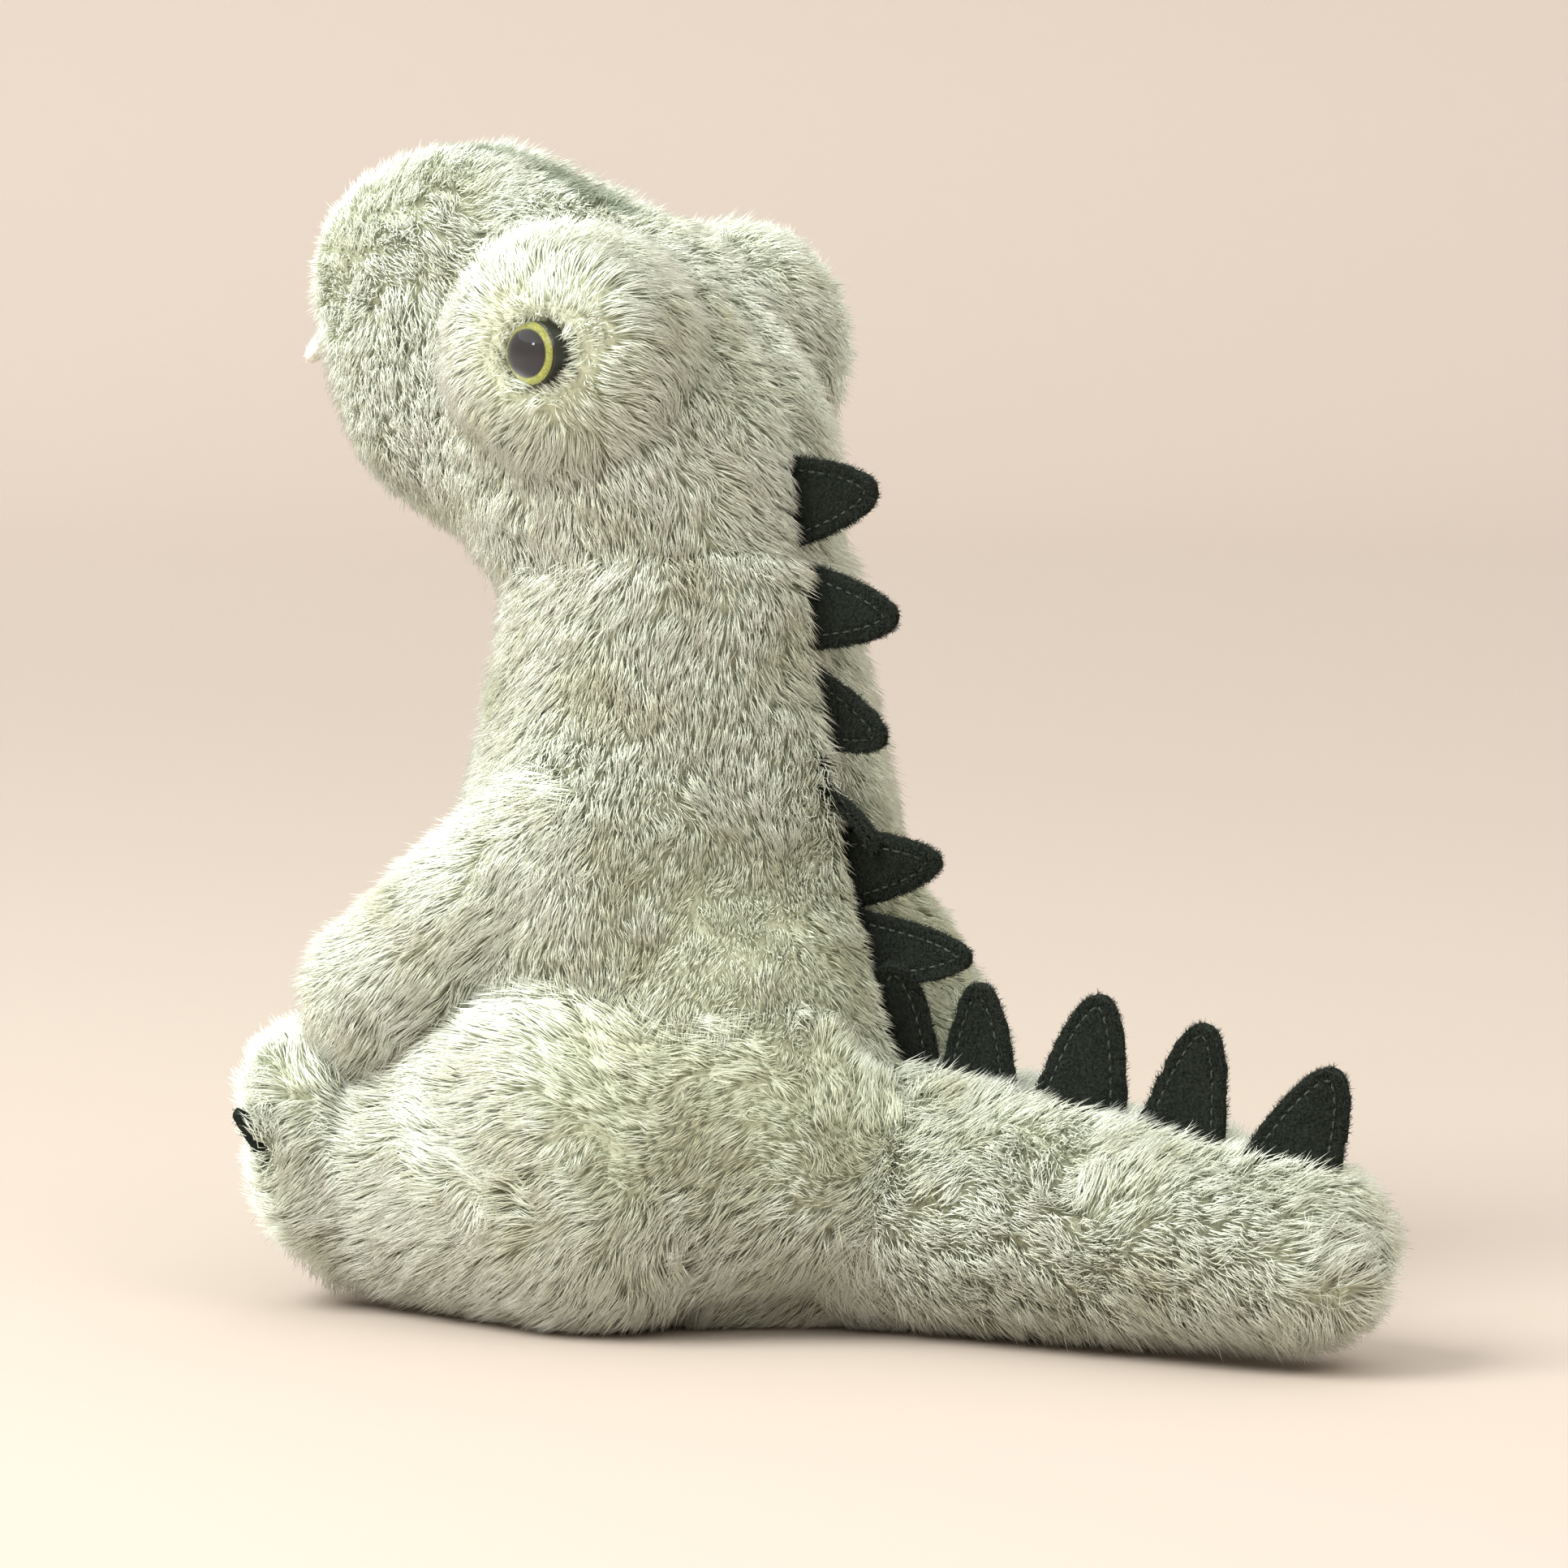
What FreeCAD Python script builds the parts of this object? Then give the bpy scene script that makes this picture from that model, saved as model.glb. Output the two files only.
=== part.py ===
import FreeCAD, Part
import math
import os

# Plush sitting dinosaur, in millimetres. +Z is up, it faces -Y, its own left side is +X and the
# tail runs towards +Y. The origin is the middle of the flat seat panel that it sits on.
#
# Every soft body is a sewn cover (backing cloth with the packed foot of the pile) around a stuffing
# core. The free ends of the pile stand a few millimetres proud of these solids.

V = FreeCAD.Vector
X_AXIS = V(1, 0, 0)
Y_AXIS = V(0, 1, 0)
Z_AXIS = V(0, 0, 1)
SIDES = {"left": 1, "right": -1}

# Cloth and clearances
COVER = 3.0          # cloth with the packed foot of the pile
FILL_GAP = 0.3       # between a cover and its stuffing
JOINT_GAP = 0.6      # between two bodies that flex on each other
FELT = 2.4           # two layers of felt sewn together

# Torso: a pear turned about a vertical axis, with a spherical top inside the head
TORSO_Y = -1.0
TORSO_PROFILE = [(30.0, 0.0), (47.0, 7.0), (56.0, 28.0), (59.0, 58.0), (58.0, 92.0), (53.0, 121.0),
                 (47.5, 147.0), (44.0, 172.0), (43.5, 190.0)]
PEAR_SEAM = -70.0    # degrees round from +X of the line where the turned surface closes
SEAT_RADIUS = 27.0
HIP_X = 30.0         # flat side of the torso where a leg lies against it
HIP_TOP = 84.0

# Neck: the head rocks on the spherical top of the torso
NECK = V(0, 10, 150)
NECK_RADIUS = 70.0
NAPE = V(0, 40, 194)       # the back of the neck slopes forward above this point
NAPE_SLOPE = V(0, 0.78, 0.62)

# Rump and tail: the tail turns on a ball about a vertical axis
TAIL_PIVOT = V(0, 52, 33)
TAIL_BALL = 36.0
RUMP_START = V(0, 10, 33)
RUMP_RADIUS = 31.0
TAIL_ROOT = V(0, 62, 33)
TAIL_ROOT_RADIUS = 29.5
TAIL_TIP = V(0, 181, 29)
TAIL_TIP_RADIUS = 17.5

# Head
MUZZLE = V(0, -73, 257)
MUZZLE_RADIUS = 31.5
JAW = V(0, -62, 236)
JAW_RADIUS = 33.5
CRANIUM = V(0, -20, 236)
CRANIUM_RADIUS = 34.0
JOWL = V(0, -20, 221)
JOWL_RADIUS = 43.0
DOME = V(32, -10, 241)
DOME_RADIUS = 28.5
CROWN_HALF_WIDTH = 7.0     # dark gusset between the two sides of the head
CROWN_Y = (-104.0, -12.0)

# Safety eyes
EYE_RADIUS = 8.0
EYE_HEIGHT = 6.0
EYE_TURN = 10.0            # degrees that an eye looks forward of straight sideways
EYE_BACK = V(54.5, -2.5, 242)      # middle of the back of the eye
EYE_PLINTH = 5.5           # straight part under the dome of the eye
SHANK_RADIUS = 2.0
SHANK_LENGTH = 11.0
WASHER_RADIUS = 7.0
WASHER_THICKNESS = 1.6
WASHER_BACK = 6.5          # from the back of the eye to the washer

# Arms
SHOULDER = V(44, -4, 122)
SHOULDER_RADIUS = 18.0
PAW = V(58, -50, 80)
PAW_RADIUS = 16.5
SLEEVE_X = 42.0            # flat on the side of the torso that leaves the arm free to lift
SLEEVE_BACK = 16.0
SLEEVE_TOP = 142.0

# Legs
HAUNCH = V(52, 4, 42)
HAUNCH_RADIUS = 40.0
ANKLE = V(54, -60, 33)
ANKLE_RADIUS = 21.0
LEG_FLATNESS = 0.68        # width of a leg over its height
LEG_SQUEEZE_X = 52.0
HEEL = V(57, -72, 34)
TOES = V(59, -74, 55)
FOOT_RADIUS = 14.5
FOOT_BREADTH = 1.4         # width of a foot over its depth
FOOT_SPREAD_X = 58.0

# Felt back plates: (y, z) of the middle of the base, direction of the tip in degrees above +Y,
# width of the base, length from the base to the tip
TORSO_PLATES = [
    (31.5, 203, 8, 23, 31),
    (38, 178, -4, 21, 31),
    (40, 154, -16, 20, 30),
    (44, 134, -12, 16, 25),
    (51, 110.5, 6, 18, 27),
    (54, 92, 4, 16, 34),
    (62, 62, 86, 20, 21),
]
TAIL_PLATES = [
    (91, 57.5, 84, 24, 31),
    (118, 53, 76, 26, 32),
    (147, 49, 74, 26, 32),
    (175, 43, 66, 26, 31),
]
PLATE_BULGE = 0.62         # fullness of a plate's sides

# Teeth and claws
TOOTH_TURN = 35.0          # degrees from straight ahead, round the muzzle
TOOTH_DROP = 22.0          # degrees below the middle of the muzzle
TOOTH_LENGTH = 10.0
TOOTH_RADIUS = 3.2
CLAW_ANGLES = (-40.0, 0.0, 40.0)   # fan of the toes, in degrees from straight up
CLAW_CENTRE = V(59, -86.5, 33)
CLAW_REACH = 21.0
CLAW_LENGTH = 12.0
CLAW_RADIUS = 3.6

# Pellet pouch in the seat
POUCH_RADIUS = 22.0
POUCH_HEIGHT = 26.0
POUCH_BOTTOM = 4.0
POUCH_CLOTH = 1.0


def mirrored(shape):
    """The same shape on the other side of the mid-plane."""
    return shape.mirror(V(0, 0, 0), X_AXIS)


def half_space(point, normal, size=900.0):
    """A big block whose face passes through point, with its body on the side of normal."""
    block = Part.makeBox(size, size, size, V(-size / 2, -size / 2, 0))
    block.Placement = FreeCAD.Placement(point, FreeCAD.Rotation(Z_AXIS, normal))
    return block


def tapered(start, start_radius, end, end_radius):
    """Two balls and the cone that touches both, as one solid of revolution."""
    length = (end - start).Length
    sine = (start_radius - end_radius) / length
    cosine = math.sqrt(1 - sine * sine)
    half = math.asin(sine) / 2

    def on_ball(centre, radius, angle):
        return V(radius * math.cos(angle), 0, centre + radius * math.sin(angle))

    start_back = V(0, 0, -start_radius)
    start_edge = V(start_radius * cosine, 0, start_radius * sine)
    end_edge = V(end_radius * cosine, 0, length + end_radius * sine)
    end_front = V(0, 0, length + end_radius)
    first = Part.Arc(start_back, on_ball(0, start_radius, half - math.pi / 4), start_edge)
    cone = Part.LineSegment(start_edge, end_edge)
    last = Part.Arc(end_edge, on_ball(length, end_radius, half + math.pi / 4), end_front)
    axis = Part.LineSegment(end_front, start_back)
    wire = Part.Wire([curve.toShape() for curve in (first, cone, last, axis)])
    solid = Part.Face(wire).revolve(V(0, 0, 0), Z_AXIS, 360)
    solid.Placement = FreeCAD.Placement(start, FreeCAD.Rotation(Z_AXIS, end - start))
    return solid


def squeezed(shape, middle, factor):
    """The shape scaled along X about the plane x = middle."""
    matrix = FreeCAD.Matrix()
    matrix.scale(V(factor, 1, 1))
    matrix.move(V(middle * (1 - factor), 0, 0))
    return shape.transformGeometry(matrix)


def torso_blank(grow):
    """The pear of the torso with the rump, before anything is cut from it."""
    outline = [V(radius + grow, 0, height) for radius, height in TORSO_PROFILE]
    outline[0] = V(TORSO_PROFILE[0][0] + grow, 0, -grow)
    side = Part.BSplineCurve()
    side.interpolate(outline)
    top = V(outline[-1].x, 0, NECK.z + NECK_RADIUS + 20)
    edges = [
        Part.LineSegment(V(0, 0, -grow), outline[0]).toShape(),
        side.toShape(),
        Part.LineSegment(outline[-1], top).toShape(),
        Part.LineSegment(top, V(0, 0, top.z)).toShape(),
        Part.LineSegment(V(0, 0, top.z), V(0, 0, -grow)).toShape(),
    ]
    pear = Part.Face(Part.Wire(edges)).revolve(V(0, 0, 0), Z_AXIS, 360)
    pear.rotate(V(0, 0, 0), Z_AXIS, PEAR_SEAM)
    pear.translate(V(0, TORSO_Y, 0))
    upper = half_space(V(0, 0, NECK.z), Z_AXIS)
    rounded_top = upper.cut(Part.makeSphere(NECK_RADIUS + grow, NECK))
    nape = half_space(NAPE + NAPE_SLOPE * grow, NAPE_SLOPE)
    pear = pear.cut(rounded_top).cut(nape)
    rump_length = TAIL_PIVOT.y + TAIL_BALL - RUMP_START.y
    rump = Part.makeCylinder(RUMP_RADIUS + grow, rump_length, RUMP_START, Y_AXIS)
    behind = half_space(TAIL_PIVOT, Y_AXIS)
    rounded_end = behind.cut(Part.makeSphere(TAIL_BALL + grow, TAIL_PIVOT))
    body = pear.fuse(rump.cut(rounded_end))
    return body.cut(half_space(V(0, 0, -grow), V(0, 0, -1)))


def arm(grow):
    """Left arm: shoulder ball and paw with the sleeve between them."""
    return tapered(SHOULDER, SHOULDER_RADIUS + grow, PAW, PAW_RADIUS + grow)


def thigh(grow):
    """Left haunch, flattened from side to side, which narrows to the ankle."""
    body = tapered(HAUNCH, HAUNCH_RADIUS + grow, ANKLE, ANKLE_RADIUS + grow)
    inner_side = half_space(V(HIP_X + JOINT_GAP - grow, 0, 0), V(-1, 0, 0))
    return squeezed(body, LEG_SQUEEZE_X, LEG_FLATNESS).cut(inner_side)


def foot(grow):
    """Left foot, broad and upright."""
    body = tapered(HEEL, FOOT_RADIUS + grow, TOES, FOOT_RADIUS + grow * 0.999)
    return squeezed(body, FOOT_SPREAD_X, FOOT_BREADTH)


def leg(grow):
    """Left leg: the haunch and the foot as one body."""
    return thigh(grow).fuse(foot(grow))


def torso(grow):
    """Torso with the flats that the legs lie against and the hollows that the arms lie in."""
    body = torso_blank(grow)
    reach = 200.0
    for side in SIDES.values():
        near_leg = HIP_X + grow if side > 0 else -HIP_X - grow - reach
        beside_leg = Part.makeBox(reach, 2 * reach, reach, V(near_leg, -reach, HIP_TOP - grow - reach))
        near_arm = SLEEVE_X + grow if side > 0 else -SLEEVE_X - grow - reach
        beside_arm = Part.makeBox(reach, reach + SLEEVE_BACK - grow, SLEEVE_TOP - HIP_TOP,
                                  V(near_arm, -reach, HIP_TOP - grow))
        sleeve = arm(JOINT_GAP - grow)
        body = body.cut(beside_leg).cut(beside_arm).cut(sleeve if side > 0 else mirrored(sleeve))
    return largest(body)


def tail(grow):
    """Tail, hollowed at its root to turn on the rump."""
    body = tapered(TAIL_ROOT, TAIL_ROOT_RADIUS + grow, TAIL_TIP, TAIL_TIP_RADIUS + grow)
    body = body.cut(half_space(V(0, TAIL_PIVOT.y, 0), V(0, -1, 0)))
    return largest(body.cut(Part.makeSphere(TAIL_BALL + JOINT_GAP - grow, TAIL_PIVOT)))


def head(grow):
    """Head, hollowed below to rock on the top of the torso."""
    body = Part.makeSphere(JOWL_RADIUS + grow, JOWL)
    snout = tapered(CRANIUM, CRANIUM_RADIUS + grow, MUZZLE, MUZZLE_RADIUS + grow)
    jaw = tapered(JOWL, JAW_RADIUS + 0.1 + grow, JAW, JAW_RADIUS + grow)
    domes = [Part.makeSphere(DOME_RADIUS + grow, V(side * DOME.x, DOME.y, DOME.z))
             for side in SIDES.values()]
    body = body.fuse([snout, jaw] + domes)
    return largest(body.cut(Part.makeSphere(NECK_RADIUS + JOINT_GAP - grow, NECK)))


def largest(shape):
    """The biggest solid of a shape, without stray slivers."""
    return max(shape.Solids, key=lambda solid: solid.Volume)


def plate(y, z, tip_angle, width, length):
    """A felt back plate: a leaf with rounded sides, standing in the mid-plane."""
    half = width / 2
    root = [V(0, -half, 0), V(0, half, 0)]
    tip = V(0, 0, length)
    shoulder = length * 0.45
    sides = []
    for start, end, sign in ((root[0], tip, -1), (tip, root[1], 1)):
        middle = V(0, sign * half * (0.5 + PLATE_BULGE / 2), shoulder)
        near_tip = V(0, sign * half * 0.32, length * 0.9)
        points = [start, middle, near_tip, end] if sign < 0 else [start, near_tip, middle, end]
        curve = Part.BSplineCurve()
        curve.interpolate(points)
        sides.append(curve.toShape())
    wire = Part.Wire(sides + [Part.LineSegment(root[1], root[0]).toShape()])
    leaf = Part.Face(wire).extrude(V(FELT, 0, 0))
    leaf.translate(V(-FELT / 2, 0, 0))
    leaf.rotate(V(0, 0, 0), X_AXIS, tip_angle - 90)
    leaf.translate(V(0, y, z))
    return leaf


def eye_axis():
    """Direction in which the left eye looks."""
    turn = math.radians(EYE_TURN)
    return V(math.cos(turn), -math.sin(turn), 0)


def eye(grow=0.0):
    """Left safety eye: a domed front on a shank, along its own axis."""
    bulge = (EYE_RADIUS ** 2 + EYE_HEIGHT ** 2) / (2 * EYE_HEIGHT)
    ball = Part.makeSphere(bulge, V(0, 0, EYE_HEIGHT - bulge))
    dome = ball.cut(half_space(V(0, 0, 0), V(0, 0, -1)))
    plinth = Part.makeCylinder(EYE_RADIUS, EYE_PLINTH)
    dome.translate(V(0, 0, EYE_PLINTH))
    shank = Part.makeCylinder(SHANK_RADIUS + grow, SHANK_LENGTH, V(0, 0, -SHANK_LENGTH))
    return placed_at_eye(dome.fuse([plinth, shank]).removeSplitter())


def placed_at_eye(shape):
    """Moves a shape from its own axis to the left eye."""
    shape.Placement = FreeCAD.Placement(EYE_BACK, FreeCAD.Rotation(Z_AXIS, eye_axis()))
    return shape


def eye_washer():
    """Lock washer that holds the left eye from inside the cover."""
    outer = Part.makeCylinder(WASHER_RADIUS, WASHER_THICKNESS, V(0, 0, -WASHER_BACK))
    hole = Part.makeCylinder(SHANK_RADIUS, WASHER_THICKNESS, V(0, 0, -WASHER_BACK))
    return placed_at_eye(outer.cut(hole))


def tooth():
    """Left tooth: a small blunt cone that hangs from the edge of the upper lip."""
    turn = math.radians(TOOTH_TURN)
    drop = math.radians(TOOTH_DROP)
    outwards = V(math.sin(turn) * math.cos(drop), -math.cos(turn) * math.cos(drop), -math.sin(drop))
    root = MUZZLE + outwards * (MUZZLE_RADIUS - 0.5)
    tip = root + V(outwards.x * 5, outwards.y * 5, -TOOTH_LENGTH + TOOTH_RADIUS)
    return tapered(root, TOOTH_RADIUS, tip, TOOTH_RADIUS * 0.45)


def toe_claws():
    """Left foot's three felt claws, fanned over the front of the foot."""
    claws = []
    for angle in CLAW_ANGLES:
        fan = math.radians(angle)
        along = V(math.sin(fan), 0, math.cos(fan))
        root = CLAW_CENTRE + along * (CLAW_REACH - CLAW_LENGTH / 2)
        tip = CLAW_CENTRE + along * (CLAW_REACH + CLAW_LENGTH / 2)
        claws.append(tapered(root, CLAW_RADIUS, tip, CLAW_RADIUS * 0.5))
    return Part.makeCompound(claws)


def cover(outline, trimmings):
    """Shell between a body's outline and the same outline drawn in by the cover's thickness."""
    shell = outline(0).cut(outline(-COVER))
    for trimming in trimmings:
        shell = shell.cut(trimming)
    return shell


def halves(shell, seam_cutters):
    """Left and right panels of a cover, which meet in the mid-plane."""
    for cutter in seam_cutters:
        shell = shell.cut(cutter)
    left = shell.cut(half_space(V(0, 0, 0), V(-1, 0, 0)))
    right = shell.cut(half_space(V(0, 0, 0), V(1, 0, 0)))
    return largest(left), largest(right)


def stuffing(outline, inclusions):
    """Core that fills a cover, around whatever is buried in it."""
    core = outline(-COVER - FILL_GAP)
    for inclusion in inclusions:
        core = core.cut(inclusion)
    return largest(core)


def crown_band():
    """Slice of space that the crown gusset takes from the two sides of the head."""
    return Part.makeBox(2 * CROWN_HALF_WIDTH, CROWN_Y[1] - CROWN_Y[0], 80,
                        V(-CROWN_HALF_WIDTH, CROWN_Y[0], MUZZLE.z))


def seat_panel():
    """Round base panel with the flat face that the toy sits on."""
    return Part.makeCylinder(SEAT_RADIUS, COVER, V(0, TORSO_Y, 0))


def pellet_pouch():
    """Cloth pouch and the pellets in it, low in the seat."""
    outside = Part.makeCylinder(POUCH_RADIUS, POUCH_HEIGHT, V(0, TORSO_Y, POUCH_BOTTOM))
    inside = Part.makeCylinder(POUCH_RADIUS - POUCH_CLOTH, POUCH_HEIGHT - 2 * POUCH_CLOTH,
                               V(0, TORSO_Y, POUCH_BOTTOM + POUCH_CLOTH))
    return outside, outside.cut(inside), inside


def build():
    """All the pieces by name."""
    pieces = {}
    torso_plates = [plate(*values) for values in TORSO_PLATES]
    tail_plates = [plate(*values) for values in TAIL_PLATES]
    for number, leaf in enumerate(torso_plates + tail_plates, start=1):
        pieces[f"back_plate_{number:02d}"] = leaf

    pouch_space, pouch, pellets = pellet_pouch()
    pieces["pellet_pouch"] = pouch
    pieces["pellet_fill"] = pellets
    pieces["seat_panel"] = seat_panel()
    torso_shell = cover(torso, [seat_panel()])
    left, right = halves(torso_shell, torso_plates)
    pieces["torso_cover_left"] = left
    pieces["torso_cover_right"] = right
    pieces["torso_stuffing"] = stuffing(torso, torso_plates + [pouch_space])

    tail_left, tail_right = halves(cover(tail, []), tail_plates)
    pieces["tail_cover_left"] = tail_left
    pieces["tail_cover_right"] = tail_right
    pieces["tail_stuffing"] = stuffing(tail, tail_plates)

    eyes = [eye(), mirrored(eye())]
    washers = [eye_washer(), mirrored(eye_washer())]
    teeth = [tooth(), mirrored(tooth())]
    band = crown_band()
    head_shell = cover(head, eyes + teeth)
    pieces["crown_gusset"] = largest(head_shell.common(band))
    left, right = halves(head_shell, [band])
    pieces["head_cover_left"] = left
    pieces["head_cover_right"] = right
    pieces["head_stuffing"] = stuffing(head, eyes + washers + teeth)

    arm_shell = cover(arm, [])
    arm_core = stuffing(arm, [])
    leg_shell = cover(thigh, [foot(-COVER)])
    foot_shell = cover(foot, [thigh(0), toe_claws()])
    leg_core = stuffing(leg, [toe_claws()])
    for index, (name, side) in enumerate(SIDES.items()):
        pieces[f"eye_{name}"] = eyes[index]
        pieces[f"eye_washer_{name}"] = washers[index]
        pieces[f"tooth_{name}"] = teeth[index]
        for label, shape in (("arm_cover", arm_shell), ("arm_stuffing", arm_core),
                             ("leg_cover", leg_shell), ("foot_cover", foot_shell),
                             ("leg_stuffing", leg_core),
                             ("toe_claws", toe_claws())):
            pieces[f"{label}_{name}"] = shape if side > 0 else mirrored(shape)
    return pieces


os.makedirs("parts", exist_ok=True)
for node, shape in build().items():
    shape.exportStep(f"parts/{node}.step")
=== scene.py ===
"""Long-pile plush dinosaur: skins, pile, felt plates, eyes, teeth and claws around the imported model."""
import math

import bmesh
import bpy
import numpy as np
from mathutils import Matrix, Vector, kdtree


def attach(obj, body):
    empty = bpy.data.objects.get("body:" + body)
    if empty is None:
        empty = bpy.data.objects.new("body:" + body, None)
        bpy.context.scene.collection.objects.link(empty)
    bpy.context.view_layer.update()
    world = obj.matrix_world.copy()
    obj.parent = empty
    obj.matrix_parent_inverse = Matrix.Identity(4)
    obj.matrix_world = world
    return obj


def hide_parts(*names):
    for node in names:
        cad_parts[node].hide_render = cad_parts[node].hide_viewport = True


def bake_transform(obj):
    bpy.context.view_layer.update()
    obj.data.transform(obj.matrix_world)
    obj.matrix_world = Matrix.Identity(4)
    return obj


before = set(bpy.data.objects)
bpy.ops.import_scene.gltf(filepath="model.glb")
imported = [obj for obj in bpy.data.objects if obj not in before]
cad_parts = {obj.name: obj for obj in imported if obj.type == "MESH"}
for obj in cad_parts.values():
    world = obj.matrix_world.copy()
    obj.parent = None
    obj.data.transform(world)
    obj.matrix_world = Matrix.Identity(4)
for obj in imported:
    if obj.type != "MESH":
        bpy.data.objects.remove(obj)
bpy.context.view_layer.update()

MM = 0.001
SIDES = {"left": 1.0, "right": -1.0}
RNG = np.random.default_rng(11)

# Shape of the soft bodies, in millimetres, in the model's frame: the backing cloth under the pile.
# A ball is (centre, radius) and a round cone is (centre, radius, centre, radius).
TORSO_Y = -1.0
TORSO_PROFILE = [(0, 44), (6, 50), (16, 55), (30, 58), (58, 60), (92, 57.5), (121, 51.5), (147, 45.5),
                 (168, 41.5), (186, 40), (196, 35)]
TORSO_TOP = 196.0
RUMP = ((0, 20, 40), 37, (0, 66, 33.5), 30.5)
TAIL = ((0, 60, 34), 31, (0, 182, 28), 18.5)
MUZZLE = ((0, -75, 257), 31.5)
SNOUT_BRIDGE = ((0, -24, 242), 33, (0, -62, 262), 28)
JAW = ((0, -22, 220), 35, (0, -64, 234), 34)
JOWL = ((0, -16, 221), 41)
DOME = ((32.5, -10, 241), 28.5)
DIMPLES = [((29, -84, 257), 7, 4), ((46, -22, 224), 7, 3), ((20, -46, 266), 8, 3)]      # centre, width, depth
NECK = ((0, -6, 206), 39.5, (0, -1, 178), 38)
ARM = ((38, -3, 117), 24, (58, -50, 80), 17)
HAUNCH = ((50, 4, 45), 42.5, (54, -60, 32), 23.5)
HIP = ((22.6, 34, 55), 38, (30, 12, 46), 40)
BUTTOCK = ((22.6, 34, 49), 35, (4.9, 57, 40), 27)
TORSO_PADS = [((33, 0, 114), 26, 18), ((35, -3, 93), 22, 18), ((26, 36, 74), 27, 20)]   # the last is softness
FOOT = ((57, -67, 33), 15.5, (59, -70, 54), 14.5)
LEG_FLATNESS = 0.68
LEG_SQUEEZE_X = 52.0
FOOT_BREADTH = 1.3
FOOT_SPREAD_X = 58.0
FLOOR_CLEARANCE = 1.0
LEG_EXTRA_CLEARANCE = 0.6

# Pile
PILE = 10.5                 # length of a strand
STRAND_WIDTH = 0.36
STRANDS_PER_MM2 = 1.5
STRANDS_PER_PIECE = 19000
CLUMP_STRANDS = 48
STRAND_VERTICES = 7         # two rings of three and a tip
STRAND_FLOOR = 0.35         # lowest height of a strand
LOWEST_ROOT = 2.5
SHADED_PATCH_SHORTER = 0.38        # share of the pile's length that is missing on the short patch with painted shade
# how far painted shade darkens the pile's tone on the short patch
PAINTED_SHADE_DARKER = 0.8

CAMERA_WAY = (125, 5)       # azimuth and elevation in degrees
CAMERA_DISTANCE = 1.8
CAMERA_LENS = 162
AIM_RIGHT, AIM_UP = 0.02547, 0.13126


# ---------------------------------------------------------------- camera, light and floor

def look_from(azimuth_deg, elevation_deg):
    """Unit vector from the object towards a viewer."""
    a, e = math.radians(azimuth_deg), math.radians(elevation_deg)
    return Vector((math.sin(a) * math.cos(e), -math.cos(a) * math.cos(e), math.sin(e)))


def make_camera():
    back = look_from(*CAMERA_WAY)
    right = (-back).cross(Vector((0, 0, 1))).normalized()
    up = right.cross(-back)
    data = bpy.data.cameras.new("camera")
    data.lens = CAMERA_LENS
    data.sensor_width = 36
    data.clip_end = 20
    camera = bpy.data.objects.new("camera", data)
    bpy.context.collection.objects.link(camera)
    middle = right * AIM_RIGHT + up * AIM_UP
    camera.location = middle + back * CAMERA_DISTANCE
    camera.rotation_euler = Matrix((right, up, back)).transposed().to_euler()
    bpy.context.scene.camera = camera


def make_light(name, azimuth, elevation, distance, size, power, colour):
    data = bpy.data.lights.new(name, "AREA")
    data.shape = "DISK"
    data.size = size
    data.energy = power
    data.color = colour
    light = bpy.data.objects.new(name, data)
    direction = look_from(azimuth, elevation)
    light.location = direction * distance + Vector((0, 0.05, 0.1))
    light.rotation_euler = direction.to_track_quat("Z", "Y").to_euler()
    bpy.context.collection.objects.link(light)
    return light


def make_stage():
    """A pale floor that sweeps up into a round backdrop, and a soft studio light."""
    reach, sweep, wall = 3.6, 1.4, 3.5
    profile = [(0.0, 0.0), (reach, 0.0)]
    for step in range(1, 13):
        angle = math.pi / 2 * step / 12
        profile.append((reach + sweep * math.sin(angle), sweep * (1 - math.cos(angle))))
    profile.append((reach + sweep, wall))
    turns = 96
    points = [(r * math.cos(2 * math.pi * k / turns), r * math.sin(2 * math.pi * k / turns), z)
              for r, z in profile for k in range(turns)]
    faces = []
    for i in range(len(profile) - 1):
        for k in range(turns):
            a, b = i * turns + k, i * turns + (k + 1) % turns
            faces.append((a, b, b + turns, a + turns))
    mesh = bpy.data.meshes.new("floor")
    mesh.from_pydata(points, [], faces)
    mesh.polygons.foreach_set("use_smooth", [True] * len(faces))
    floor = bpy.data.objects.new("floor", mesh)
    bpy.context.collection.objects.link(floor)
    mesh.materials.append(shaded_paper_material())
    world = bpy.data.worlds.new("studio")
    world.use_nodes = True
    bpy.context.scene.world = world
    background = world.node_tree.nodes["Background"]
    background.inputs["Color"].default_value = (0.99, 0.985, 0.96, 1)
    background.inputs["Strength"].default_value = 1.62
    key = make_light("key", 62, 46, 1.8, 1.1, 46, (0.99, 1.0, 0.98))
    key.visible_glossy = False
    make_light("glint", 96, 34, 1.6, 0.22, 2.5, (0.85, 0.92, 1.0))
    make_light("fill", 170, 40, 2.2, 1.6, 14, (1.0, 0.99, 0.96))
    bpy.context.scene.view_settings.view_transform = "Standard"
    bpy.context.scene.view_settings.look = "None"


# ---------------------------------------------------------------- distances to the soft bodies

def ball(p, centre, radius):
    return np.linalg.norm(p - np.asarray(centre, float), axis=1) - radius


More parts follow.
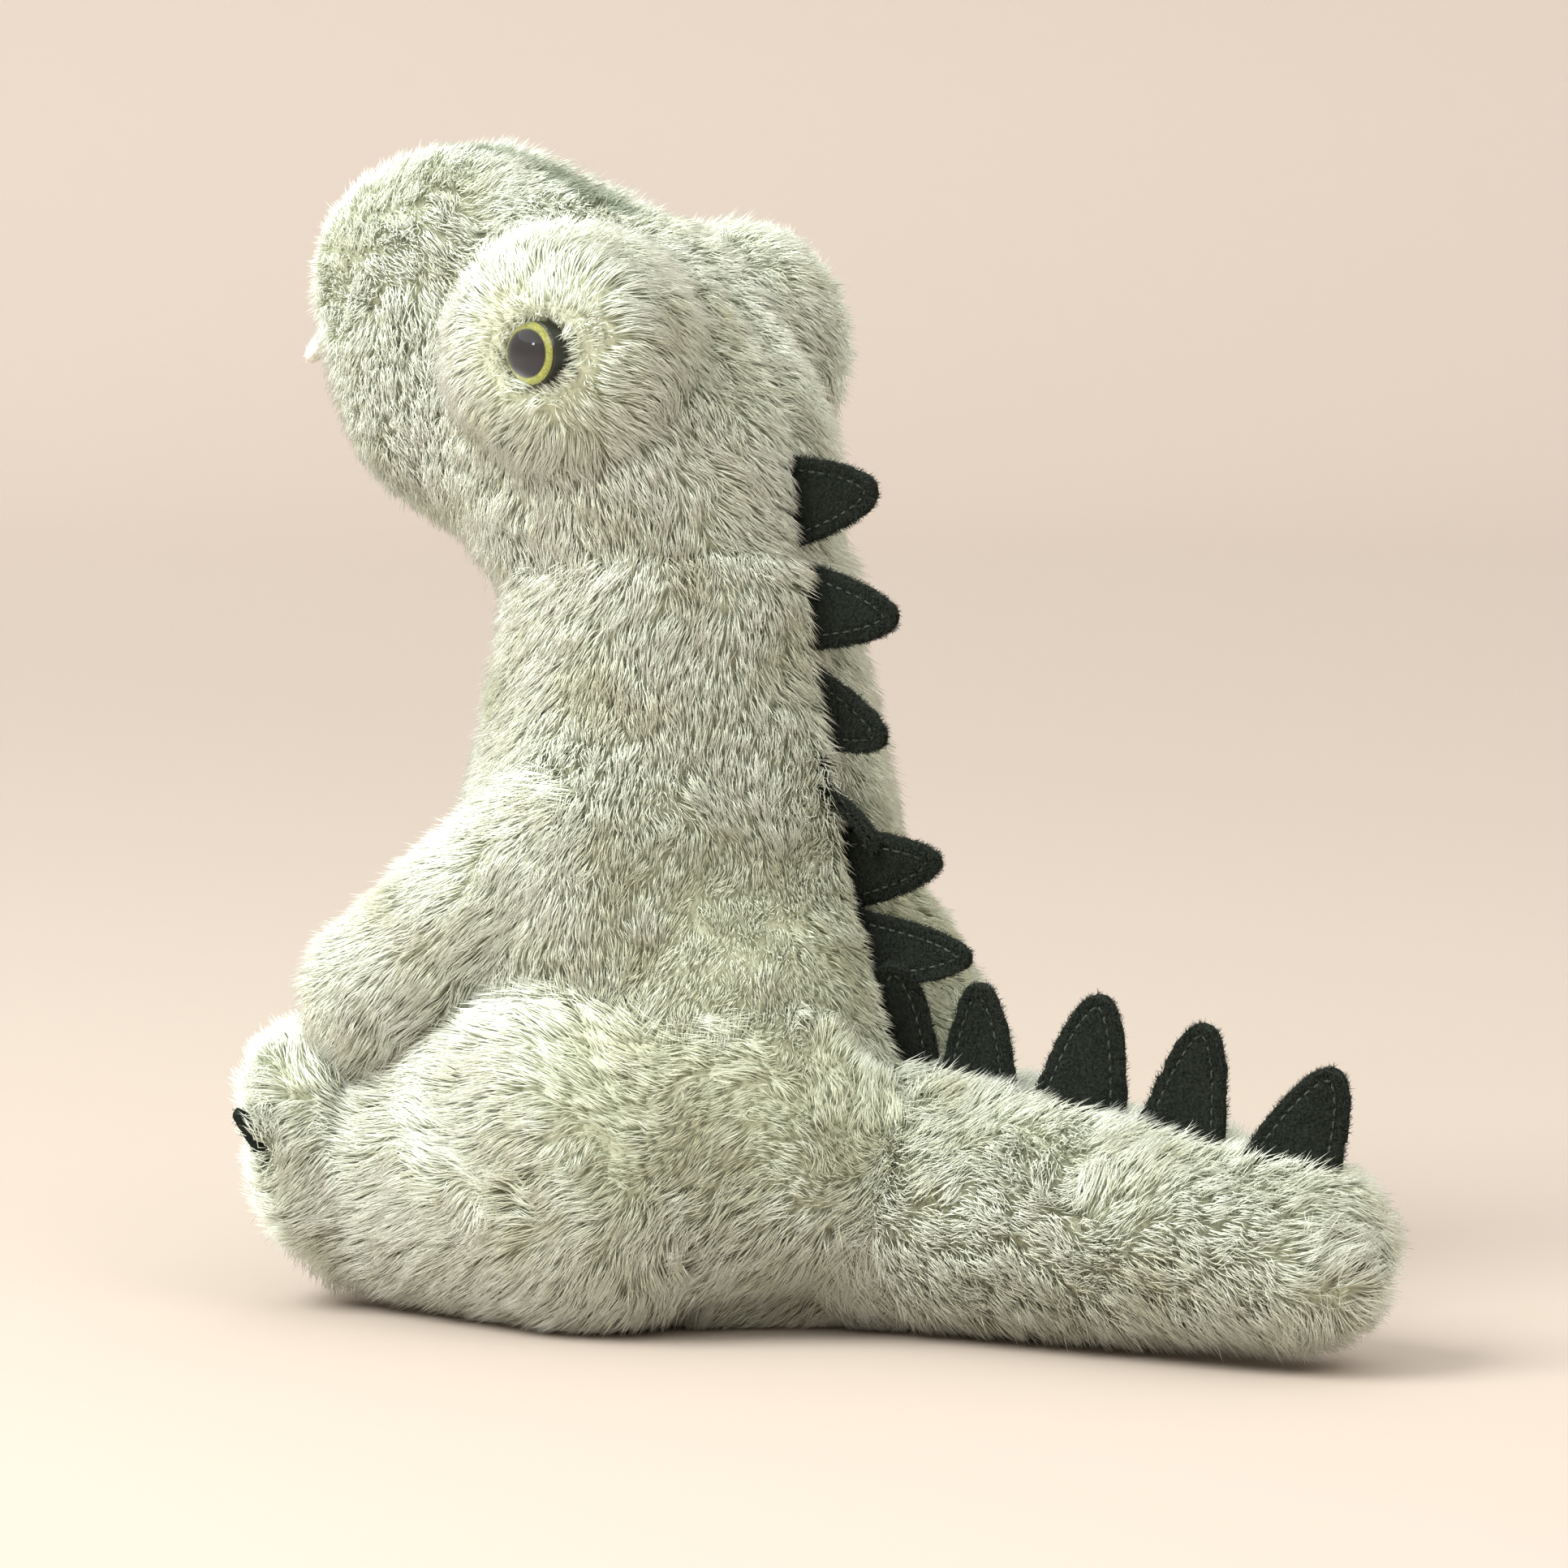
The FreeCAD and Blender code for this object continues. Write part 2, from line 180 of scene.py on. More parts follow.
def round_cone(p, a, ra, b, rb):
    """Distance to two balls and the cone that touches both."""
    a, b = np.asarray(a, float), np.asarray(b, float)
    axis = b - a
    length2 = axis @ axis
    rr = ra - rb
    a2 = length2 - rr * rr
    il2 = 1.0 / length2
    pa = p - a
    y = pa @ axis
    z = y - length2
    x2 = ((pa * length2 - y[:, None] * axis) ** 2).sum(1)
    y2 = y * y * length2
    z2 = z * z * length2
    k = np.sign(rr) * rr * rr * x2
    result = (np.sqrt(x2 * a2 * il2) + y * rr) * il2 - ra
    far = np.sign(z) * a2 * z2 > k
    near = np.sign(y) * a2 * y2 < k
    result = np.where(near, np.sqrt(x2 + y2) * il2 - ra, result)
    return np.where(far, np.sqrt(x2 + z2) * il2 - rb, result)


def merge(a, b, soft):
    """Smooth union of two distances."""
    h = np.clip(0.5 + 0.5 * (b - a) / soft, 0, 1)
    return b + (a - b) * h - soft * h * (1 - h)


def flattened(p, middle, factor):
    """Points with X stretched, so that a shape measured there comes out narrower by factor."""
    q = p.copy()
    q[:, 0] = middle + (q[:, 0] - middle) / factor
    return q


def ridge(value, width):
    """1 on a line, falling to 0 beside it."""
    return np.exp(-(value / width) ** 2)


def ramp(value, low, high):
    t = np.clip((value - low) / (high - low), 0, 1)
    return t * t * (3 - 2 * t)


def torso_distance(p):
    heights, radii = zip(*TORSO_PROFILE)
    radius = np.interp(p[:, 2], heights, radii)
    pear = (np.hypot(p[:, 0], p[:, 1] - TORSO_Y) - radius) * 0.96
    pear = np.maximum(pear, p[:, 2] - TORSO_TOP)
    d = merge(pear, round_cone(p, *RUMP), 16)
    for (x, y, z), radius, soft in TORSO_PADS:
        for side in SIDES.values():
            d = merge(d, ball(p, (side * x, y, z), radius), soft)
    spine = ridge(p[:, 0], 5.0) * ramp(p[:, 1], 15, 35)
    return np.maximum(d + 4.5 * spine, FLOOR_CLEARANCE - p[:, 2])


def tail_distance(p):
    d = round_cone(p, *TAIL)
    spine = ridge(p[:, 0], 4.0) * ramp(p[:, 2], 40, 55)
    seam = ridge(p[:, 1] - 77, 3.0)
    return np.maximum(d + 3.0 * spine + 1.8 * seam, FLOOR_CLEARANCE - p[:, 2])


def head_distance(p):
    d = merge(ball(p, *MUZZLE), round_cone(p, *SNOUT_BRIDGE), 8)
    d = merge(d, round_cone(p, *JAW), 12)
    d = merge(d, ball(p, *JOWL), 14)
    d = merge(d, round_cone(p, *NECK), 14)
    (x, y, z), radius = DOME
    for side in SIDES.values():
        d = merge(d, ball(p, (side * x, y, z), radius), 5)
    back = ridge(p[:, 0], 5.0) * ramp(p[:, 1] + (p[:, 2] - 200) * 0.45, 12, 30)
    d = d + 3.5 * back
    mirror = np.abs(p[:, :1])
    q = np.hstack([mirror, p[:, 1:]])
    for centre, width, depth in DIMPLES:
        d = d + depth * ridge(np.linalg.norm(q - np.asarray(centre, float), axis=1), width)
    for side in SIDES.values():
        along, apart = from_eye_axis(p, side)
        d = d + SOCKET_DEPTH * (np.abs(along) < EYE_REACH) * (1 - ramp(apart, *SOCKET_EDGE))
    return d


def arm_distance(p):
    return round_cone(p, *ARM)


def leg_distance(p):
    q = flattened(p, LEG_SQUEEZE_X, LEG_FLATNESS)
    thigh = merge(round_cone(q, *HAUNCH), round_cone(q, *HIP), 12)
    thigh = merge(thigh, round_cone(q, *BUTTOCK), 10) * 0.85
    foot = round_cone(flattened(p, FOOT_SPREAD_X, FOOT_BREADTH), *FOOT)
    return np.maximum(merge(thigh, foot, 7), FLOOR_CLEARANCE + LEG_EXTRA_CLEARANCE - p[:, 2])


def other_side(distance):
    """The same shape mirrored in the mid-plane."""
    return lambda p: distance(p * np.array([-1.0, 1.0, 1.0]))


def slope(distance, p, step=0.4):
    """Gradient of a distance by central differences."""
    out = np.empty_like(p)
    for axis in range(3):
        shift = np.zeros(3)
        shift[axis] = step
        out[:, axis] = (distance(p + shift) - distance(p - shift)) / (2 * step)
    return out


# ---------------------------------------------------------------- skins

def settle(distance, points, rounds=5):
    """Moves points onto the surface of a distance."""
    for _ in range(rounds):
        g = slope(distance, points)
        size = np.maximum((g * g).sum(1), 0.05)
        points = points - g * (distance(points) / size)[:, None]
    return points


def skin_mesh(name, distance, parts, voxel=3.2):
    """Closed mesh on the surface of a distance, started from remeshed round cones."""
    bm = bmesh.new()
    for a, ra, b, rb, stretch, middle in parts:
        for t in np.linspace(0, 1, 9):
            centre = (1 - t) * np.asarray(a, float) + t * np.asarray(b, float)
            radius = (1 - t) * ra + t * rb
            squeeze = Matrix.Diagonal((stretch, 1, 1, 1))
            spot = Vector((middle + (centre[0] - middle) * stretch, centre[1], centre[2]))
            place = Matrix.Translation(spot) @ squeeze
            bmesh.ops.create_icosphere(bm, subdivisions=3, radius=radius, matrix=place)
    mesh = bpy.data.meshes.new(name)
    bm.to_mesh(mesh)
    bm.free()
    obj = bpy.data.objects.new(name, mesh)
    bpy.context.collection.objects.link(obj)
    remesh = obj.modifiers.new("remesh", "REMESH")
    remesh.mode = "VOXEL"
    remesh.voxel_size = voxel
    smooth = obj.modifiers.new("smooth", "SMOOTH")
    smooth.iterations = 12
    smooth.factor = 0.5
    graph = bpy.context.evaluated_depsgraph_get()
    made = bpy.data.meshes.new_from_object(obj.evaluated_get(graph))
    obj.modifiers.clear()
    obj.data = made
    bpy.data.meshes.remove(mesh)
    made.name = name
    points = settle(distance, vertices(made))
    put_vertices(made, points * MM)
    made.polygons.foreach_set("use_smooth", [True] * len(made.polygons))
    return obj


def vertices(mesh):
    out = np.empty(len(mesh.vertices) * 3)
    mesh.vertices.foreach_get("co", out)
    return out.reshape(-1, 3)


def triangle_corners(mesh):
    """The three corners of each triangle, in millimetres."""
    mesh.calc_loop_triangles()
    tris = np.empty(len(mesh.loop_triangles) * 3, int)
    mesh.loop_triangles.foreach_get("vertices", tris)
    return vertices(mesh)[tris.reshape(-1, 3)] / MM


def put_vertices(mesh, points):
    mesh.vertices.foreach_set("co", points.ravel())
    mesh.update()


# ---------------------------------------------------------------- pile

def waves(p, size, seed, count=7):
    """Smooth noise between about -1 and 1 that varies over the given size, in millimetres."""
    rng = np.random.default_rng(seed)
    total = np.zeros(len(p))
    for _ in range(count):
        direction = rng.normal(size=3)
        direction *= 2 * math.pi / (size * np.linalg.norm(direction)) * rng.uniform(0.6, 1.5)
        total += np.sin(p @ direction + rng.uniform(0, 2 * math.pi))
    return total / math.sqrt(count)


def unit(v):
    return v / np.maximum(np.linalg.norm(v, axis=1), 1e-9)[:, None]


def scatter(obj, per_mm2, distance):
    """Random roots over a mesh, in millimetres, with the surface's normals."""
    corners = triangle_corners(obj.data)
    area = np.linalg.norm(np.cross(corners[:, 1] - corners[:, 0], corners[:, 2] - corners[:, 0]), axis=1) / 2
    count = int(area.sum() * per_mm2)
    pick = RNG.choice(len(area), size=count, p=area / area.sum())
    u, v = RNG.random(count), RNG.random(count)
    over = u + v > 1
    u[over], v[over] = 1 - u[over], 1 - v[over]
    c = corners[pick]
    roots = c[:, 0] + (c[:, 1] - c[:, 0]) * u[:, None] + (c[:, 2] - c[:, 0]) * v[:, None]
    return roots, unit(slope(distance, roots))


def combed(normals, direction):
    """A direction laid into the surface."""
    flat = direction - normals * (direction * normals).sum(1)[:, None]
    return unit(flat)


def strands(roots, normals, flow, length, lean, curl=0.35, width=STRAND_WIDTH, clump=CLUMP_STRANDS, sunk=0.8):
    """Vertices and faces of tapered three-sided strands, with where along the strand each vertex is.

    lean is the angle from the normal at the root, in radians; a strand bends further over towards its tip.
    """
    count = len(roots)
    side = np.cross(normals, flow)
    swing = RNG.normal(0, 0.2, count)[:, None]
    flow = unit(flow + side * swing)
    side = np.cross(normals, flow)
    lean = lean + RNG.normal(0, 0.14, count)
    bend = lean + curl + RNG.normal(0, 0.14, count)
    first = normals * np.cos(lean)[:, None] + flow * np.sin(lean)[:, None]
    second = normals * np.cos(bend)[:, None] + flow * np.sin(bend)[:, None]
    base = roots - normals * sunk
    middle = base + first * (length * 0.5)[:, None]
    tip = middle + second * (length * 0.5)[:, None]

    if clump:
        # strands lean together in tufts
        heads = RNG.choice(count, size=max(count // clump, 1), replace=False)
        tree = kdtree.KDTree(len(heads))
        for i, h in enumerate(heads):
            tree.insert(roots[h], i)
        tree.balance()
        nearest = np.array([heads[tree.find(r)[1]] for r in roots])
        pull = RNG.uniform(0.0, 0.62, count)[:, None]
        middle = middle + (middle[nearest] - middle) * pull * 0.35
        tip = tip + (tip[nearest] - tip) * pull
    second = unit(tip - middle)
    widths = width * RNG.uniform(0.75, 1.25, count)
    rings = []
    for centre, along, share in ((base, first, 1.0), (middle, second, 0.8)):
        across = unit(np.cross(along, side))
        for j in range(3):
            angle = 2 * math.pi * j / 3
            offset = side * math.cos(angle) + across * math.sin(angle)
            rings.append(centre + offset * (widths * share / 2)[:, None])
    rings.append(tip)
    points = np.stack(rings, axis=1)
    points[:, :, 2] = np.maximum(points[:, :, 2], STRAND_FLOOR)
    quads = [(0, 1, 4, 3), (1, 2, 5, 4), (2, 0, 3, 5)]
    tris = [(3, 4, 6), (4, 5, 6), (5, 3, 6), (2, 1, 0)]
    return points, quads, tris


def strand_object(name, points, quads, tris, tone, crown, material):
    """One mesh of many strands, with its tones, place along the strand and a texture cell for each strand."""
    count = len(points)
    first = (np.arange(count) * STRAND_VERTICES)[:, None]
    quad = (first[:, :, None] + np.array(quads)[None]).reshape(-1, 4)
    tri = (first[:, :, None] + np.array(tris)[None]).reshape(-1, 3)
    loops = np.concatenate([quad.ravel(), tri.ravel()])
    sizes = np.concatenate([np.full(len(quad), 4), np.full(len(tri), 3)])
    starts = np.concatenate([[0], np.cumsum(sizes)[:-1]])
    mesh = bpy.data.meshes.new(name)
    mesh.vertices.add(count * STRAND_VERTICES)
    mesh.vertices.foreach_set("co", (points * MM).ravel())
    mesh.loops.add(len(loops))
    mesh.loops.foreach_set("vertex_index", loops)
    mesh.polygons.add(len(sizes))
    mesh.polygons.foreach_set("loop_start", starts)
    mesh.polygons.foreach_set("use_smooth", np.ones(len(sizes), bool))
    mesh.update(calc_edges=True)
    along = np.tile([0, 0, 0, 0.5, 0.5, 0.5, 1.0], count)
    put_attribute(mesh, "along", along)
    put_attribute(mesh, "tone", np.repeat(tone, STRAND_VERTICES))
    put_attribute(mesh, "crown", np.repeat(crown, STRAND_VERTICES))
    cells = math.ceil(math.sqrt(count))
    column, row = np.arange(count) % cells, np.arange(count) // cells
    across = np.array([0.1, 0.5, 0.9, 0.1, 0.5, 0.9, 0.5])
    u = (column[:, None] + across[None]) / cells
    v = (row[:, None] + np.array([0.1, 0.1, 0.1, 0.5, 0.5, 0.5, 0.9])[None]) / cells
    uv = np.stack([u.ravel(), v.ravel()], axis=1)[loops]
    layer = mesh.uv_layers.new(name="OFBake")
    layer.data.foreach_set("uv", uv.ravel())
    mesh.materials.append(material)
    obj = bpy.data.objects.new(name, mesh)
    bpy.context.collection.objects.link(obj)
    return obj


def put_attribute(mesh, name, values):
    mesh.attributes.new(name, "FLOAT", "POINT").data.foreach_set("value", np.asarray(values, np.float32))


def grow_pile(name, obj, distance, others, flow_of, length_of, lean_of, tone_of, material):
    """Pile over a skin, where no other skin covers it, in pieces of a size that exports whole."""
    roots, normals = scatter(obj, STRANDS_PER_MM2, distance)
    shown = roots[:, 2] > LOWEST_ROOT
    for other in others:
        shown &= other(roots) > -1.5
    roots, normals = roots[shown], normals[shown]
    order = np.argsort(roots[:, 2] + 0.35 * roots[:, 1])
    roots, normals = roots[order], normals[order]
    flow = combed(normals, flow_of(roots, normals))
    # tone carries random tone plus the painted light and shade from tone_of
    tone = tone_of(roots) + RNG.normal(0, 0.13, len(roots))
    crown = crown_of(roots)
    points, quads, tris = strands(roots, normals, flow, length_of(roots), lean_of(roots))
    out = []
    for number, start in enumerate(range(0, len(roots), STRANDS_PER_PIECE), start=1):
        part = slice(start, start + STRANDS_PER_PIECE)
        piece = strand_object(f"{name}_pile_{number:02d}", points[part], quads, tris, tone[part], crown[part],
                              material)
        out.append(piece)
    return out


# ---------------------------------------------------------------- materials

def new_material(name):
    mat = bpy.data.materials.new(name)
    mat.use_nodes = True
    tree = mat.node_tree
    return mat, tree, tree.nodes["Principled BSDF"]


def add(tree, kind, **settings):
    node = tree.nodes.new(kind)
    for key, value in settings.items():
        if key in node.inputs:
            node.inputs[key].default_value = value
        else:
            setattr(node, key, value)
    return node


def noise(tree, scale, detail=2.0):
    """Noise in object space; scale is in waves per metre."""
    where = add(tree, "ShaderNodeTexCoord")
    node = add(tree, "ShaderNodeTexNoise", Scale=scale, Detail=detail)
    tree.links.new(where.outputs["Object"], node.inputs["Vector"])
    return node.outputs["Fac"]


def blend_colours(tree, factor, first, second, kind="MIX"):
    """Mix of two colours, each a value or a socket."""
    node = tree.nodes.new("ShaderNodeMix")
    node.data_type = "RGBA"
    node.blend_type = kind
    for socket, value in ((node.inputs[0], factor), (node.inputs[6], first), (node.inputs[7], second)):
        if isinstance(value, (int, float, tuple)):
            socket.default_value = value
        else:
            tree.links.new(value, socket)
    return node.outputs[2]


def rescale(tree, value, low, high, to_low=0.0, to_high=1.0):
    node = tree.nodes.new("ShaderNodeMapRange")
    tree.links.new(value, node.inputs["Value"])
    for name, number in (("From Min", low), ("From Max", high), ("To Min", to_low), ("To Max", to_high)):
        node.inputs[name].default_value = number
    return node.outputs["Result"]


def attribute(tree, name):
    return add(tree, "ShaderNodeAttribute", attribute_name=name).outputs["Fac"]


SAGE_DARK = (0.46, 0.49, 0.35, 1)
SAGE = (0.81, 0.86, 0.71, 1)
SAGE_LIGHT = (0.95, 0.99, 0.93, 1)
BEIGE = (0.64, 0.58, 0.42, 1)
CROWN_DARK = (0.15, 0.18, 0.13, 1)
CROWN_LIGHT = (0.44, 0.49, 0.38, 1)


def pile_material():
    """Pile: darker at the root as painted shade among the strands, pale at the tip, with patches of beige,
    and the tone attribute's painted light and shade.
    """
    mat, tree, shader = new_material("sage_pile")
    along = attribute(tree, "along")
    tone = attribute(tree, "tone")
    crown = attribute(tree, "crown")
    low = blend_colours(tree, tone, SAGE_DARK, SAGE)
    high = blend_colours(tree, tone, SAGE, SAGE_LIGHT)
    # painted shade: each strand darkens towards its root
    colour = blend_colours(tree, along, low, high)
    patch = rescale(tree, noise(tree, 55), 0.5, 0.72, 0.0, 0.6)
    colour = blend_colours(tree, patch, colour, blend_colours(tree, 0.6, colour, BEIGE, "MULTIPLY"))
    # the dark crown band, also darker at the root as painted shade
    dark = blend_colours(tree, along, CROWN_DARK, CROWN_LIGHT)
    colour = blend_colours(tree, crown, colour, dark)
    tree.links.new(colour, shader.inputs["Base Color"])
    shader.inputs["Roughness"].default_value = 0.72
    shader.inputs["Specular IOR Level"].default_value = 0.18
    shader.inputs["Sheen Weight"].default_value = 0.12
    return mat


def shaded_paper_material():
    """Backdrop paper, a little darker under the toy as a painted shadow and towards its right as painted
    shade.
    """
    mat, tree, shader = new_material("floor_paper_painted_shade")
    place = add(tree, "ShaderNodeNewGeometry").outputs["Position"]
    far = tree.nodes.new("ShaderNodeVectorMath")
    far.operation = "LENGTH"
    tree.links.new(place, far.inputs[0])
    # painted shadow: the paper darkens towards the middle, under the toy
    colour = blend_colours(tree, rescale(tree, far.outputs["Value"], 0.5, 4.5), (0.435, 0.377, 0.325, 1),
                           (0.68, 0.605, 0.54, 1))
    # painted shade: the paper darkens towards the toy's right, away from the key light
    along = tree.nodes.new("ShaderNodeVectorMath")
    along.operation = "DOT_PRODUCT"
    tree.links.new(place, along.inputs[0])
    along.inputs[1].default_value = (-0.57, 0.82, 0)
    painted_shade = rescale(tree, along.outputs["Value"], -0.9, 0.9, 0.0, 0.16)
    colour = blend_colours(tree, painted_shade, colour, (0.25, 0.2, 0.16, 1))
    tree.links.new(colour, shader.inputs["Base Color"])
    shader.inputs["Roughness"].default_value = 0.9
    return mat


def cloth_material(name, dark, light, scale):
    """Backing cloth or felt: two tones in fine noise with a fibrous relief."""
    mat, tree, shader = new_material(name)
    colour = blend_colours(tree, rescale(tree, noise(tree, scale, 6.0), 0.35, 0.65), dark, light)
    tree.links.new(colour, shader.inputs["Base Color"])
    bump = add(tree, "ShaderNodeBump", Strength=0.5, Distance=0.0004)
    tree.links.new(noise(tree, scale * 2.2, 5.0), bump.inputs["Height"])
    tree.links.new(bump.outputs["Normal"], shader.inputs["Normal"])
    shader.inputs["Roughness"].default_value = 0.95
    shader.inputs["Specular IOR Level"].default_value = 0.1
    return mat


def fuzz_material(name, dark, light):
    """Loose fibres of felt: dark at the root and lighter where they stand out, the lighter tips a painted
    sheen.
    """
    mat, tree, shader = new_material(name)
    along = attribute(tree, "along")
    low = blend_colours(tree, noise(tree, 400), dark, light)
    # painted sheen: each fibre pales towards its tip
    colour = blend_colours(tree, along, low, light)
    tree.links.new(colour, shader.inputs["Base Color"])
    shader.inputs["Roughness"].default_value = 0.9
    shader.inputs["Specular IOR Level"].default_value = 0.1
    return mat


def eye_paint_material():
    """Painted back of the eye: black pupil, yellow-green iris with fine rays, dark rim."""
    mat, tree, shader = new_material("eye_paint")
    radius = attribute(tree, "radius")
    rays = rescale(tree, noise(tree, 1500, 4.0), 0.3, 0.7)
    iris = blend_colours(tree, rays, (0.30, 0.34, 0.06, 1), (0.66, 0.66, 0.16, 1))
    inner = rescale(tree, radius, PUPIL_RADIUS - 0.25, PUPIL_RADIUS + 0.25)
    colour = blend_colours(tree, inner, (0.004, 0.005, 0.012, 1), iris)
    rim = rescale(tree, radius, 7.25, 7.7)
    colour = blend_colours(tree, rim, colour, (0.01, 0.012, 0.008, 1))
    tree.links.new(colour, shader.inputs["Base Color"])
    shader.inputs["Roughness"].default_value = 0.35
    return mat


def lens_material():
    mat, tree, shader = new_material("eye_lens")
    haze = rescale(tree, noise(tree, 300), 0.3, 0.7, 0.0, 0.03)
    tree.links.new(haze, shader.inputs["Roughness"])
    shader.inputs["Base Color"].default_value = (1, 1, 1, 1)
    shader.inputs["Transmission Weight"].default_value = 1.0
    shader.inputs["IOR"].default_value = 1.46
    return mat


# ---------------------------------------------------------------- felt plates

# (y, z) of the middle of the base, direction of the tip in degrees above +Y, width, length, lean of the
# tip towards +X in degrees, turn about the plate's own length in degrees, cupping
PLATES = [
    (31.5, 204, 8, 24, 29, 6, 4, 0.8),
    (37, 178, -4, 22, 27, -7, -8, 1.0),
    (38, 154, -18, 21, 26, 5, 6, 0.9),
    (44, 132, -28, 19, 22, 20, 58, 1.6),
    (50, 113, 6, 21, 27, -8, 12, 0.8),
    (54, 93, 0, 20, 35, 7, -6, 1.0),
    (65, 63, 86, 25, 28, 16, 12, 0.9),
    (90, 57.5, 86, 25, 30, 7, -6, 1.0),
    (118, 53, 78, 27, 34, -5, 6, 0.9),
    (148, 49, 74, 27, 34, 6, -5, 1.1),
    (177, 43, 64, 27, 33, -5, 7, 0.9),
]
TORSO_PLATE_COUNT = 7
PLATE_BURIED = 0.3          # share of a plate's length that is sewn into the back seam
STITCH_INSET = 3.0
FELT_LAYER = 1.35


def leaf_half_width(v, width):
    """Half width of a plate at v, from 0 at its base to 1 at its tip."""
    v = np.clip(v, 0, 1)
    return width / 2 * (1 - 0.52 * v) * np.sqrt(np.clip(1 - v ** 5, 0, 1))


def place_leaf(points, spec):
    """Points (out of the leaf, across it, along it) bent, turned and set on the back seam."""
    y, z, tip_angle, width, length, lean, turn, cup = spec
    out, across, along = points[:, 0].copy(), points[:, 1].copy(), points[:, 2].copy()
    t = np.clip(along / length, -1, 1.2)
    cupped = out + cup * (across / (width / 2)) ** 2 * np.sign(lean)
    out = cupped + math.radians(lean) * length * 0.6 * t * np.abs(t)
    a = math.radians(turn) * np.clip(t * 3 + 0.6, 0, 1)
    out, across = out * np.cos(a) - across * np.sin(a), out * np.sin(a) + across * np.cos(a)
    e = math.radians(tip_angle)
    tip_way = np.array([0, math.cos(e), math.sin(e)])
    base_way = np.array([0, math.sin(e), -math.cos(e)])
    seam = np.array([0, y, z])
    return seam + np.outer(out, [1, 0, 0]) + np.outer(across, base_way) + np.outer(along, tip_way)


def leaf_layer(spec, side, seed):
    """One felt layer of a plate: vertices and quads of a closed, slightly puffed leaf."""
    width, length = spec[3], spec[4]
    columns, rows = 25, 40
    s = np.linspace(-1, 1, columns)
    v = np.linspace(-PLATE_BURIED, 0.995, rows)
    S, W = np.meshgrid(s, v)
    half = leaf_half_width(W, width)
    along_rim = np.stack([S.ravel() * 9, W.ravel() * length, np.full(S.size, seed * 7.0)], 1)
    ragged = 0.28 * waves(along_rim, 4.0, seed)
    edge = np.abs(S) ** 6
    across = S * (half + ragged.reshape(S.shape) * edge)
    along = W * length
    inset = np.minimum((1 - np.abs(S)) * half, (1 - W) * length * 0.8)
    puff = 1 - np.exp(-(inset / 1.6) ** 2)
    pinch = np.exp(-((inset - STITCH_INSET) / 0.8) ** 2)
    lump = waves(np.stack([across.ravel(), along.ravel(), np.full(S.size, seed * 3.0)], 1), 9.0, seed + 50)
    face = FELT_LAYER * (0.72 + 0.28 * puff) - 0.62 * pinch + 0.10 * lump.reshape(S.shape) + 0.25
    gap = 0.28 - 0.26 * ramp(inset, 0.5, 2.5)
    outer = np.stack([side * face, across, along], -1).reshape(-1, 3)
    inner = np.stack([side * gap, across, along], -1).reshape(-1, 3)
    points = np.vstack([outer, inner])
    quads = []
    n = columns * rows
    for r in range(rows - 1):
        for c in range(columns - 1):
            a = r * columns + c
            quads.append((a, a + 1, a + columns + 1, a + columns))
            quads.append((n + a, n + a + columns, n + a + columns + 1, n + a + 1))
    rim = [c for c in range(columns)] + [r * columns + columns - 1 for r in range(1, rows)]
    rim += [(rows - 1) * columns + c for c in range(columns - 2, -1, -1)]
    rim += [r * columns for r in range(rows - 2, 0, -1)]
    for a, b in zip(rim, rim[1:] + rim[:1]):
        quads.append((a, n + a, n + b, b))
    if side < 0:
        quads = [tuple(reversed(q)) for q in quads]
    return place_leaf(points, spec), quads


def leaf_fuzz(spec, side, count, edge_count):
    """Roots, normals and lie of loose fibres over a felt face and round its raw edge."""
    width, length = spec[3], spec[4]
    v = RNG.uniform(-0.1, 0.97, count)
    s = RNG.uniform(-0.97, 0.97, count)
    half = leaf_half_width(v, width)
    face = np.full(count, side * (FELT_LAYER + 0.2))
    local = np.stack([face, s * half, v * length], 1)
    ahead = local + np.array([0, 0, 1.0])
    above = local + np.array([side * 1.0, 0, 0])
    ve = RNG.uniform(0.0, 0.99, edge_count) ** 0.7
    ends = RNG.choice([-1.0, 1.0], edge_count)
    he = leaf_half_width(ve, width)
    rim = np.stack([RNG.uniform(0.1, FELT_LAYER, edge_count) * side, ends * he, ve * length], 1)
    outward = np.stack([np.zeros(edge_count), ends * 1.0, 0.25 + 1.6 * ve ** 3], 1)
    local = np.vstack([local, rim])
    above = np.vstack([above, rim + unit(outward)])
    ahead = np.vstack([ahead, rim + np.array([0, 0, 1.0])])
    roots = place_leaf(local, spec)
    normals = unit(place_leaf(above, spec) - roots)
    lie = combed(normals, place_leaf(ahead, spec) - roots + RNG.normal(0, 0.8, roots.shape))
    return roots, normals, lie


